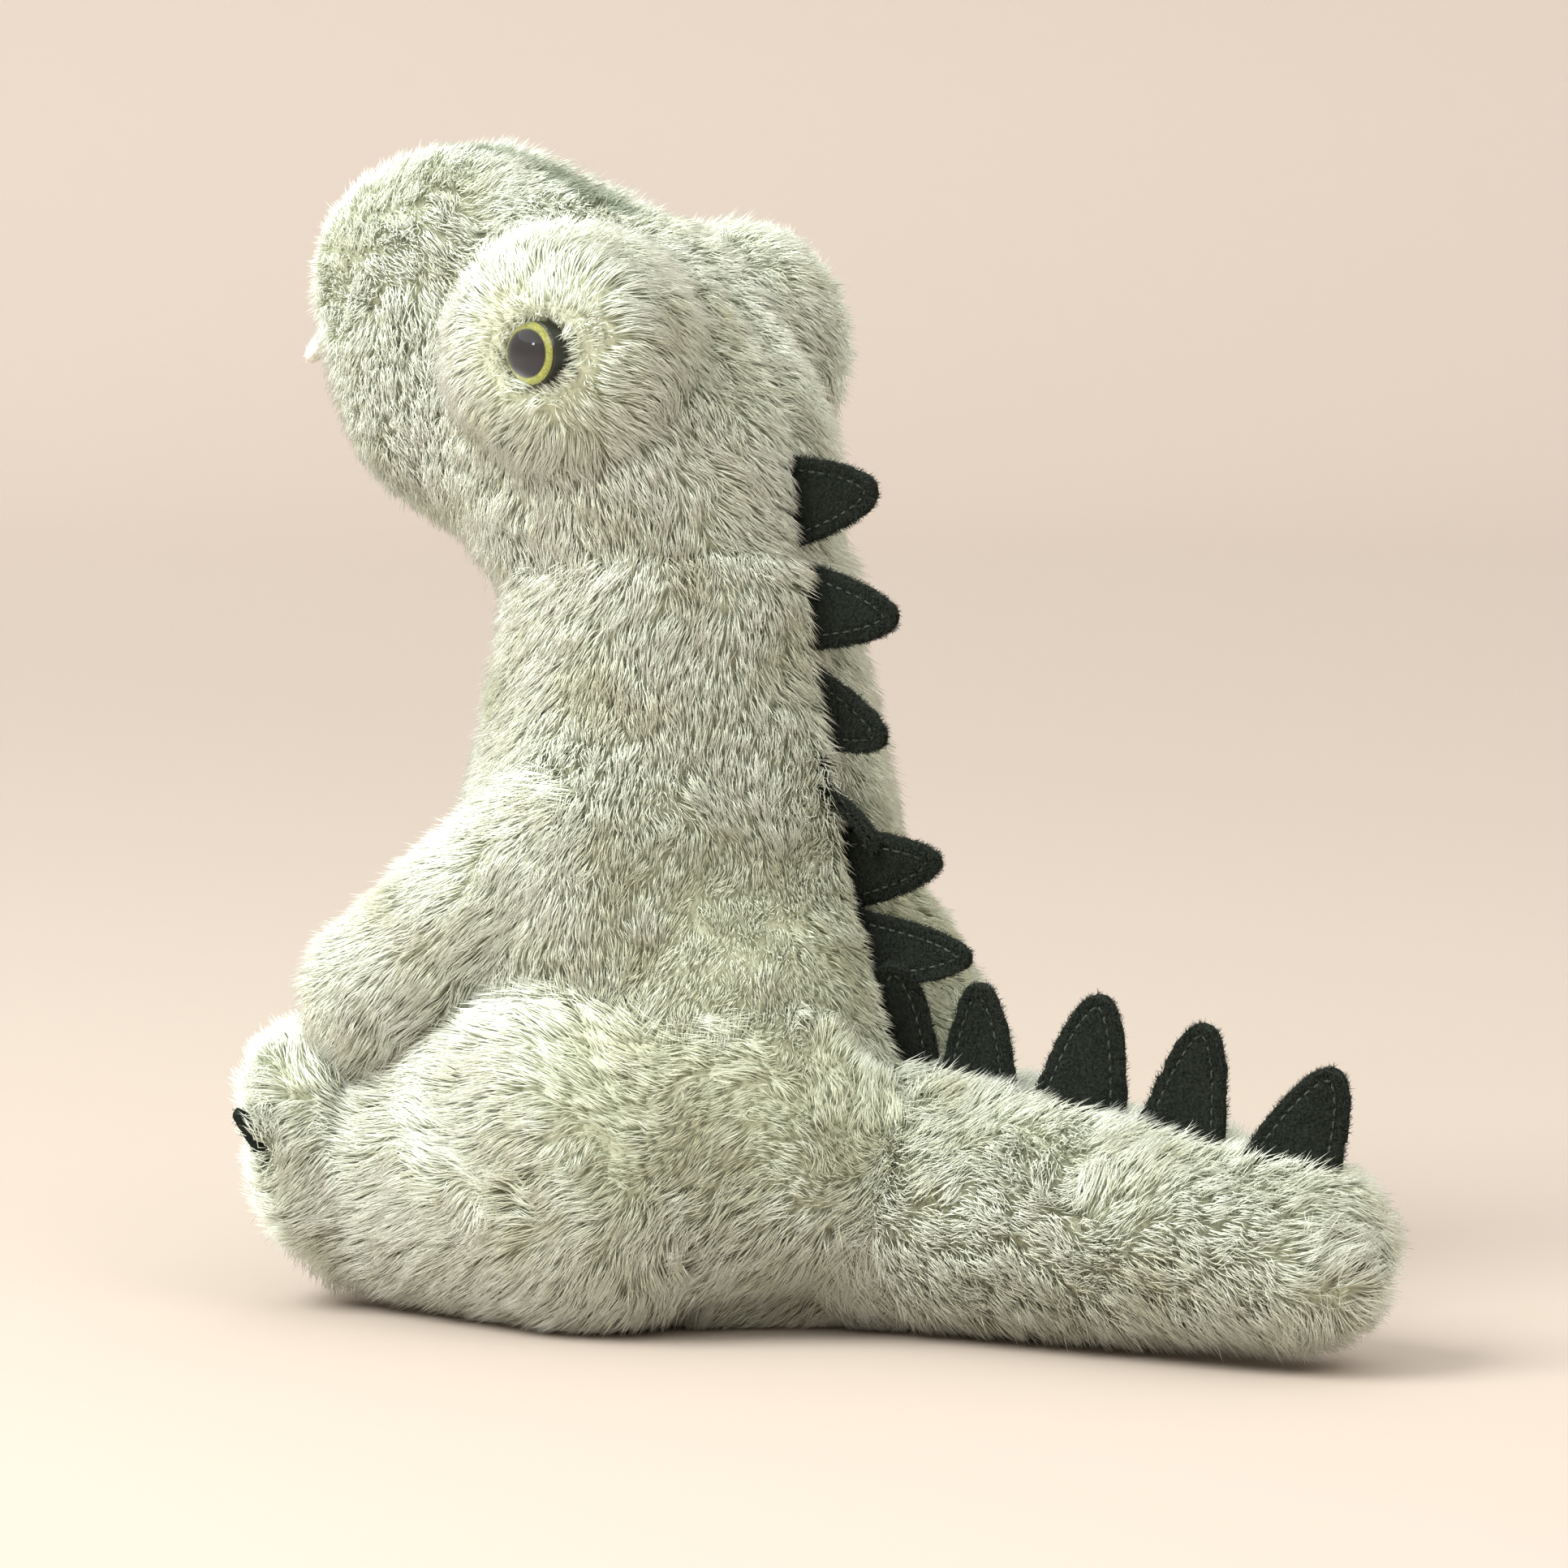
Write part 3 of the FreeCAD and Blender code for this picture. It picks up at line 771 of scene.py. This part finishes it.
def stitches(spec, side):
    """Sewn dashes that run round a plate inside its edge."""
    width, length = spec[3], spec[4]
    v = np.linspace(0.0, 1.0, 240)
    half = leaf_half_width(v, width)
    left = np.stack([-half, v * length], 1)
    right = left[::-1] * np.array([-1.0, 1.0])
    outline = np.vstack([left, right[1:]])
    tangent = np.gradient(outline, axis=0)
    tangent /= np.maximum(np.linalg.norm(tangent, axis=1), 1e-6)[:, None]
    inward = np.stack([tangent[:, 1], -tangent[:, 0]], 1)
    line = outline + inward * STITCH_INSET
    widest = leaf_half_width(line[:, 1] / length, width) - STITCH_INSET * 0.75
    line = line[(np.abs(line[:, 0]) < widest) & (line[:, 1] > 0)]
    run = np.concatenate([[0], np.cumsum(np.linalg.norm(np.diff(line, axis=0), axis=1))])
    points, quads = [], []
    for start in np.arange(0.4, run[-1] - 2.2, 3.0):
        t = np.linspace(start, start + 2.1, 5)
        path = np.stack([np.interp(t, run, line[:, 0]), np.interp(t, run, line[:, 1])], 1)
        lift = side * (FELT_LAYER * 0.5 + 0.42 + np.array([-0.35, 0.1, 0.2, 0.1, -0.35]))
        way = unit(np.gradient(path, axis=0))
        cross = np.stack([way[:, 1], -way[:, 0]], 1)
        first = len(points)
        for i in range(5):
            for k in range(6):
                angle = math.pi / 3 * k
                x = lift[i] + 0.3 * math.sin(angle)
                flat = path[i] + cross[i] * 0.3 * math.cos(angle)
                points.append((x, flat[0], flat[1]))
        for i in range(4):
            for k in range(6):
                a, b = first + i * 6 + k, first + i * 6 + (k + 1) % 6
                quads.append((a, b, b + 6, a + 6))
    return place_leaf(np.array(points), spec), quads


def mesh_object(name, points, faces, material, smooth=True):
    mesh = bpy.data.meshes.new(name)
    mesh.from_pydata((np.asarray(points) * MM).tolist(), [], faces)
    mesh.polygons.foreach_set("use_smooth", [smooth] * len(mesh.polygons))
    mesh.materials.append(material)
    obj = bpy.data.objects.new(name, mesh)
    bpy.context.collection.objects.link(obj)
    return obj


def joined(parts):
    """Several (points, faces) as one."""
    points, faces, first = [], [], 0
    for some, their_faces in parts:
        points.append(some)
        faces += [tuple(i + first for i in face) for face in their_faces]
        first += len(some)
    return np.vstack(points), faces


def fasten(pieces, body):
    """Pieces that move with one body."""
    for piece in pieces:
        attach(piece, body)


def make_plates(felt, thread, fuzz):
    for number, spec in enumerate(PLATES, start=1):
        body = "torso" if number <= TORSO_PLATE_COUNT else "tail"
        node = f"back_plate_{number:02d}"
        layers = [leaf_layer(spec, side, number * 2 + (side > 0)) for side in (1.0, -1.0)]
        leaf = mesh_object(f"plate_felt_{number:02d}", *joined(layers), felt)
        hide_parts(node)
        rows = joined([stitches(spec, side) for side in (1.0, -1.0)])
        stitching = mesh_object(f"plate_stitches_{number:02d}", *rows, thread)
        parts = [leaf_fuzz(spec, side, 1300, 420) for side in (1.0, -1.0)]
        roots, normals, lie = (np.vstack(group) for group in zip(*parts))
        count = len(roots)
        length = RNG.uniform(0.8, 2.1, count)
        lean = RNG.uniform(0.2, 1.3, count)
        fibres = strands(roots, normals, lie, length, lean, width=0.16, clump=0, sunk=0.15)
        hair = strand_object(f"plate_fuzz_{number:02d}", *fibres, RNG.random(count), np.zeros(count), fuzz)
        fasten((leaf, stitching, hair), body)


# ---------------------------------------------------------------- eyes, teeth and claws

EYE_TURN = 10.0
EYE_BACK = (54.5, -2.5, 242)
EYE_PLINTH = 4.3
PUPIL_RADIUS = 5.1
EYE_RADIUS, EYE_HEIGHT = 8.0, 5.6
PAINT_RADIUS, PAINT_DEPTH = 7.92, 4.5
EYE_REACH = 15              # how far along its axis, either way, an eye shapes the head
EYE_HOLE_RADIUS = 8.2
SOCKET_DEPTH = 5.5
SOCKET_EDGE = (7.5, 11)
FAR_AWAY = 50.0
TOOTH_ROOT = ((16.5, -99.0, 246.5), 4.2)
TOOTH_TIP = ((18.5, -104.0, 240.0), 3.0)
TOOTH_HOLE_RADIUS = 6.5
# middle and direction of each claw of the left foot
CLAWS = [((42.0, -80.0, 43.0), (-0.5, -0.35, 0.75)), ((57.0, -85.5, 56.0), (0.0, -0.3, 1.0)),
         ((75.5, -78.0, 44.0), (0.5, -0.35, 0.75))]
CLAW_BACK, CLAW_BACK_RADIUS = 6, 4.2
CLAW_FRONT, CLAW_FRONT_RADIUS = 7, 2.2
FELT_FLATNESS = 0.75


def eye_frame(side):
    """Middle of the flat side of an eye's lens and the direction it looks in."""
    turn = math.radians(EYE_TURN)
    x, y, z = EYE_BACK
    way = np.array([side * math.cos(turn), -math.sin(turn), 0])
    return np.array([side * x, y, z]) + way * EYE_PLINTH, way


def from_eye_axis(p, side):
    """How far points are along an eye's axis, and how far they are from it."""
    middle, way = eye_frame(side)
    along = (p - middle) @ way
    return along, np.linalg.norm(p - middle - np.outer(along, way), axis=1)


def turned_profile(profile, middle, way, turns=64):
    """Surface of revolution of (radius, height) pairs about a line, with each vertex's radius."""
    way = way / np.linalg.norm(way)
    right = np.cross(way, [0, 0, 1.0])
    up = np.cross(right, way)
    angles = 2 * math.pi * np.arange(turns) / turns
    points, radii = [], []
    for radius, height in profile:
        for a in angles:
            points.append(middle + way * height + (right * math.cos(a) + up * math.sin(a)) * radius)
            radii.append(radius)
    faces = []
    for i in range(len(profile) - 1):
        for k in range(turns):
            a, b = i * turns + k, i * turns + (k + 1) % turns
            faces.append((a, b, b + turns, a + turns))
    return np.array(points), faces, radii


def make_eye(label, side, lens_mat, paint_mat):
    middle, way = eye_frame(side)
    bulge = (EYE_RADIUS ** 2 + EYE_HEIGHT ** 2) / (2 * EYE_HEIGHT)
    dome = []
    for r in np.linspace(0.01, EYE_RADIUS, 22):
        dome.append((r, EYE_HEIGHT - bulge + math.sqrt(bulge * bulge - r * r)))
    lens_profile = dome + [(EYE_RADIUS, -0.4)] + [(r, -0.6) for r in (7.6, 6.0, 4.0, 2.0, 0.01)]
    points, faces, _ = turned_profile(lens_profile, middle, way)
    lens = mesh_object(f"eye_lens_{label}", points, faces, lens_mat)
    paint_profile = [(r, 0.55 - 0.0065 * r * r) for r in np.linspace(0.01, PAINT_RADIUS, 34)]
    paint_profile += [(PAINT_RADIUS, -0.5), (7.9, -PAINT_DEPTH)]
    points, faces, radii = turned_profile(paint_profile, middle, way)
    paint = mesh_object(f"eye_paint_{label}", points, faces, paint_mat)
    put_attribute(paint.data, "radius", radii)
    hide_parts(f"eye_{label}", f"eye_washer_{label}")
    fasten((lens, paint), "head")


def felt_cone(name, a, ra, b, rb, squeeze, way, material, seed):
    """Blunt felt tooth or claw, flattened along way, with a slightly uneven surface."""
    a, b = np.asarray(a, float), np.asarray(b, float)
    axis = (b - a) / np.linalg.norm(b - a)
    way = np.asarray(way, float)
    way = way - axis * (way @ axis)
    way /= np.linalg.norm(way)
    across = np.cross(axis, way)
    length = np.linalg.norm(b - a)
    profile = []
    for angle in np.linspace(-math.pi / 2, 0, 9):
        profile.append((ra * math.cos(angle), ra * math.sin(angle)))
    for t in np.linspace(0.12, 0.88, 8):
        profile.append((ra + (rb - ra) * t, length * t))
    for angle in np.linspace(0, math.pi / 2, 9):
        profile.append((rb * math.cos(angle), length + rb * math.sin(angle)))
    turns = 32
    points = []
    for radius, height in profile:
        for k in range(turns):
            angle = 2 * math.pi * k / turns
            offset = across * math.cos(angle) + way * math.sin(angle) * squeeze
            points.append(a + axis * height + offset * max(radius, 0.01))
    points = np.array(points)
    points += unit(points - (a + b) / 2) * (0.14 * waves(points, 2.6, seed))[:, None]
    faces = []
    for i in range(len(profile) - 1):
        for k in range(turns):
            p, q = i * turns + k, i * turns + (k + 1) % turns
            faces.append((p, p + turns, q + turns, q))
    return mesh_object(name, points, faces, material)


def felt_fuzz(name, obj, count, material, length=(0.6, 1.5)):
    """Loose fibres all over a small felt piece."""
    c = triangle_corners(obj.data)
    normal = np.cross(c[:, 1] - c[:, 0], c[:, 2] - c[:, 0])
    area = np.linalg.norm(normal, axis=1)
    pick = RNG.choice(len(area), size=count, p=area / area.sum())
    roots = c[pick].mean(axis=1) + RNG.normal(0, 0.25, (count, 3))
    normals = unit(normal[pick])
    outward = ((roots - c.reshape(-1, 3).mean(axis=0)) * normals).sum(1)
    normals *= np.where(outward < 0, -1, 1)[:, None]
    lie = combed(normals, RNG.normal(0, 1, (count, 3)))
    fibres = strands(roots, normals, lie, RNG.uniform(*length, count), RNG.uniform(0.3, 1.2, count),
                     width=0.15, clump=0, sunk=0.15)
    return strand_object(name, *fibres, RNG.random(count), np.zeros(count), material)


def make_teeth(felt, fuzz):
    for label, side in SIDES.items():
        flip = np.array([side, 1, 1])
        root, tip = np.array(TOOTH_ROOT[0]) * flip, np.array(TOOTH_TIP[0]) * flip
        way = np.array([side * 0.55, -0.83, 0])
        tooth = felt_cone(f"felt_tooth_{label}", root, TOOTH_ROOT[1], tip, TOOTH_TIP[1], FELT_FLATNESS, way,
                          felt, 31)
        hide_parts(f"tooth_{label}")
        hair = felt_fuzz(f"tooth_fuzz_{label}", tooth, 500, fuzz, (0.4, 0.9))
        fasten((tooth, hair), "head")


def make_claws(felt, fuzz):
    for label, side in SIDES.items():
        flip = np.array([side, 1, 1])
        made = []
        for number, (middle, way) in enumerate(CLAWS, start=1):
            middle, way = np.array(middle) * flip, np.array(way) * flip
            way /= np.linalg.norm(way)
            claw = felt_cone(f"felt_claw_{label}_{number}", middle - way * CLAW_BACK, CLAW_BACK_RADIUS,
                             middle + way * CLAW_FRONT, CLAW_FRONT_RADIUS, FELT_FLATNESS, (0, -1, 0), felt,
                             40 + number)
            made += [claw, felt_fuzz(f"claw_fuzz_{label}_{number}", claw, 500, fuzz)]
        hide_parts(f"toe_claws_{label}")
        fasten(made, f"leg_{label}")


# ---------------------------------------------------------------- how the pile lies

def swirled(direction, p, seed, amount):
    """The direction with slow and quick wandering added."""
    out = unit(direction)
    for axis in range(3):
        out[:, axis] += amount * waves(p, 40, seed + axis) + 0.6 * amount * waves(p, 14, seed + 10 + axis)
    return out


def head_flow(p, normals):
    from_nose = unit(p - np.array([0, -112, 262.0]))
    down = np.tile([0.0, 0.15, -1.0], (len(p), 1))
    back = ramp(p[:, 1], -62, 8)[:, None]
    out = from_nose * (1 - 0.55 * back) + down * (0.35 + 0.6 * back)
    for side in SIDES.values():
        middle, _ = eye_frame(side)
        away = p - middle
        apart = np.linalg.norm(away, axis=1)
        near = 1 - ramp(apart, 12, 40)
        behind = ramp(away[:, 1] - 0.5 * away[:, 2], 2, 9) * (1 - ramp(apart, 11, 17))
        way_out = unit(away) * (1 - 1.9 * behind)[:, None]
        out = out * (1 - near[:, None]) + way_out * near[:, None] * 1.3
    return swirled(out, p, 100, 0.32)


def torso_flow(p, normals):
    down = np.tile([0.0, 0.10, -1.0], (len(p), 1))
    sideways = np.sign(p[:, :1]) * np.array([[1.0, 0, 0]])
    away = ramp(p[:, 1], 10, 40)[:, None] * 0.5
    return swirled(down + sideways * away, p, 200, 0.36)


def arm_flow(p, normals):
    a, b = np.asarray(ARM[0], float), np.asarray(ARM[2], float)
    along = np.tile((b - a) / np.linalg.norm(b - a), (len(p), 1))
    end = ramp(p[:, 1], -40, -62)[:, None]
    return swirled(along + np.array([0, 0, -0.5]) + normals * end * 0.6, p, 300, 0.34)


def leg_flow(p, normals):
    forward = np.tile([0.0, -1.0, -0.25], (len(p), 1))
    foot = ramp(p[:, 1], -50, -66)[:, None]
    away = unit(p - np.array([58, -70, 40.0]))
    return swirled(forward * (1 - foot) + (away + np.array([0, -0.2, 0.5])) * foot, p, 400, 0.5)


def tail_flow(p, normals):
    along = np.tile([0.0, 1.0, -0.12], (len(p), 1))
    end = ramp(p[:, 1], 172, 196)[:, None]
    away = unit(p - np.array([0, 176, 28.0]))
    return swirled(along * (1 - 0.7 * end) + away * end, p, 500, 0.36)


def lit_front(p):
    """1 towards the front of the toy, on the lit side, 0 towards its back: where the tones paint light."""
    return ramp(-p[:, 1], -60, 60)


def short_shaded_patch(p):
    """1 where the pile is short and painted shade darkens it: the hips and the lower back."""
    patch = ramp(p[:, 1], 2, 34) * (1 - ramp(p[:, 1], 74, 88)) * ramp(p[:, 2], 26, 52)
    return patch * (1 - ramp(p[:, 2], 114, 136)) * np.clip(0.85 + 0.35 * waves(p, 16, 71), 0, 1)


def crown_of(p):
    """1 on the dark band over the head."""
    inside = 1 - ramp(np.abs(p[:, 0]), 4.5, 9.0)
    return inside * ramp(p[:, 2], 262, 268) * (1 - ramp(p[:, 1], -20, -12))


def main_shape(label, distance, parts, others, flow_of, length_of, lean_of, tone_of, skin_mat, pile_mat):
    """A skin with its pile."""
    skin = skin_mesh(f"{label}_skin", distance, parts)
    skin.data.materials.clear()
    skin.data.materials.append(skin_mat)
    return skin, grow_pile(label, skin, distance, others, flow_of, length_of, lean_of, tone_of, pile_mat)


def constant(value):
    return lambda p: np.full(len(p), float(value))


def jittered(value, spread):
    return lambda p: value * RNG.uniform(1 - spread, 1 + spread, len(p))


def head_length(p):
    """Shorter pile on the muzzle and round the eyes."""
    out = PILE * RNG.uniform(0.8, 1.12, len(p))
    out *= 1 - 0.28 * ramp(-p[:, 1], 60, 95)
    for side in SIDES.values():
        middle, _ = eye_frame(side)
        near = np.linalg.norm(p - middle, axis=1)
        out *= 0.55 + 0.45 * ramp(near, 9, 26)
    return out * (1 - 0.35 * crown_of(p))


def head_lean(p):
    """Pile lies flatter over the head than it stands round the eyes."""
    out = np.full(len(p), 0.68)
    for side in SIDES.values():
        middle, _ = eye_frame(side)
        out *= 0.55 + 0.45 * ramp(np.linalg.norm(p - middle, axis=1), 9, 20)
    return out


def torso_length(p):
    return PILE * RNG.uniform(0.82, 1.15, len(p)) * (1 - SHADED_PATCH_SHORTER * short_shaded_patch(p))


def leg_length(p):
    return PILE * RNG.uniform(0.84, 1.14, len(p)) * (1 - SHADED_PATCH_SHORTER * short_shaded_patch(p))


def head_tone_and_light(p):
    # random tone, with painted light: paler towards the lit front
    return 0.62 + 0.25 * lit_front(p + np.array([0, 30, 0])) + 0.2 * waves(p, 30, 21)


def torso_tone_and_shade(p):
    # random tone, with painted shade on the short patch over the lower back
    return 0.60 + 0.18 * waves(p, 30, 22) - PAINTED_SHADE_DARKER * short_shaded_patch(p)


def leg_tone_light_and_shade(p):
    # random tone, with painted light paler towards the lit front and painted shade on the short patch
    return 0.56 + 0.25 * lit_front(p) + 0.18 * waves(p, 28, 23) - PAINTED_SHADE_DARKER * short_shaded_patch(p)


def tail_tone(p):
    return 0.56 + 0.15 * waves(p, 26, 24)


def make_trunk(backing, pile):
    """Skins of the torso, head and tail, with their pile."""
    limbs = [leg_distance, other_side(leg_distance), arm_distance, other_side(arm_distance)]
    torso_parts = [((0, -1, 46), 50, (0, -1, 100), 54, 1, 0), ((0, -1, 100), 54, (0, -1, 165), 42, 1, 0),
                   ((0, 10, 40), 38, (0, 64, 34), 30, 1, 0)]
    torso_skin, torso_pile = main_shape("torso", torso_distance, torso_parts,
                                        limbs + [head_distance, tail_distance], torso_flow, torso_length,
                                        constant(0.68), torso_tone_and_shade, backing, pile)
    (x, y, z), dome_radius = DOME
    head_parts = [(*MUZZLE, (0, -24, 240), 34, 1, 0), (*JAW, 1, 0), (*JOWL, *NECK[2:], 1, 0),
                  ((x, y, z), dome_radius, (x - 2, y, z - 2), dome_radius, 1, 0),
                  ((-x, y, z), dome_radius, (2 - x, y, z - 2), dome_radius, 1, 0)]
    holes = [eye_hole(side) for side in SIDES.values()] + [tooth_hole(side) for side in SIDES.values()]
    head_skin, head_pile = main_shape("head", head_distance, head_parts, [torso_distance] + holes, head_flow,
                                      head_length, head_lean, head_tone_and_light, backing, pile)
    tail_skin, tail_pile = main_shape("tail", tail_distance, [(*TAIL, 1, 0)], [torso_distance], tail_flow,
                                      jittered(PILE * 1.05, 0.15), constant(0.66), tail_tone, backing, pile)
    for piece in [head_skin] + head_pile:
        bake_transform(piece)
    for piece in [tail_skin] + tail_pile:
        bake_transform(piece)
    fasten([torso_skin] + torso_pile, "torso")
    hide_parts("torso_cover_left", "torso_cover_right", "torso_stuffing", "seat_panel",
                "pellet_pouch", "pellet_fill")
    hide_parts("head_cover_left", "head_cover_right", "head_stuffing", "crown_gusset")
    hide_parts("tail_cover_left", "tail_cover_right", "tail_stuffing")
    return [torso_skin, head_skin, tail_skin]


def make_limbs(label, side, backing, pile):
    """Skins of one arm and one leg, with their pile."""
    flip = np.array([side, 1, 1])

    def on_this_side(distance):
        return distance if side > 0 else other_side(distance)

    def mirrored_parts(parts):
        return [(np.array(a) * flip, ra, np.array(b) * flip, rb, stretch, side * middle)
                for a, ra, b, rb, stretch, middle in parts]

    def mirrored_flow(flow):
        return lambda p, n: flow(p * flip, n * flip) * flip

    arm_parts = mirrored_parts([(*ARM, 1, 0)])
    arm_skin, arm_pile = main_shape(f"arm_{label}", on_this_side(arm_distance), arm_parts, [torso_distance],
                                    mirrored_flow(arm_flow), jittered(PILE, 0.14), constant(0.64), leg_tone_light_and_shade,
                                    backing, pile)
    leg_parts = mirrored_parts([(*HAUNCH, LEG_FLATNESS, LEG_SQUEEZE_X), (*HIP, LEG_FLATNESS, LEG_SQUEEZE_X),
                                (*BUTTOCK, LEG_FLATNESS, LEG_SQUEEZE_X),
                                (*FOOT, FOOT_BREADTH, FOOT_SPREAD_X)])
    leg_skin, leg_pile = main_shape(f"leg_{label}", on_this_side(leg_distance), leg_parts, [torso_distance],
                                    mirrored_flow(leg_flow), leg_length, constant(0.66), leg_tone_light_and_shade, backing,
                                    pile)
    fasten([arm_skin] + arm_pile, f"arm_{label}")
    fasten([leg_skin] + leg_pile, f"leg_{label}")
    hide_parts(f"arm_cover_{label}", f"arm_stuffing_{label}")
    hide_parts(f"leg_cover_{label}", f"foot_cover_{label}", f"leg_stuffing_{label}")
    return [arm_skin, leg_skin]


def build_all():
    pile = pile_material()
    backing = cloth_material("pile_backing", (0.47, 0.49, 0.36, 1), (0.62, 0.65, 0.50, 1), 900)
    felt = cloth_material("green_felt", (0.007, 0.010, 0.008, 1), (0.020, 0.024, 0.019, 1), 1200)
    thread = cloth_material("green_thread", (0.05, 0.062, 0.054, 1), (0.11, 0.13, 0.115, 1), 2400)
    felt_hair = fuzz_material("green_fibres", (0.010, 0.014, 0.011, 1), (0.050, 0.060, 0.050, 1))
    white = cloth_material("white_felt", (0.66, 0.63, 0.56, 1), (0.90, 0.88, 0.82, 1), 1500)
    white_hair = fuzz_material("white_fibres", (0.7, 0.68, 0.62, 1), (0.95, 0.94, 0.9, 1))
    stuffed = make_trunk(backing, pile)
    for label, side in SIDES.items():
        stuffed += make_limbs(label, side, backing, pile)
        make_eye(label, side, lens_material(), eye_paint_material())
    make_plates(felt, thread, felt_hair)
    make_teeth(white, white_hair)
    make_claws(felt, felt_hair)


def eye_hole(side):
    """Negative under an eye, where no pile grows."""
    def distance(p):
        along, apart = from_eye_axis(p, side)
        return np.where(np.abs(along) < EYE_REACH, apart - EYE_HOLE_RADIUS, FAR_AWAY) - 1.5
    return distance


def tooth_hole(side):
    """Negative round the root of a tooth, where no pile grows."""
    root = np.array(TOOTH_ROOT[0]) * np.array([side, 1, 1])
    return lambda p: np.linalg.norm(p - root, axis=1) - TOOTH_HOLE_RADIUS


make_camera()
make_stage()
build_all()
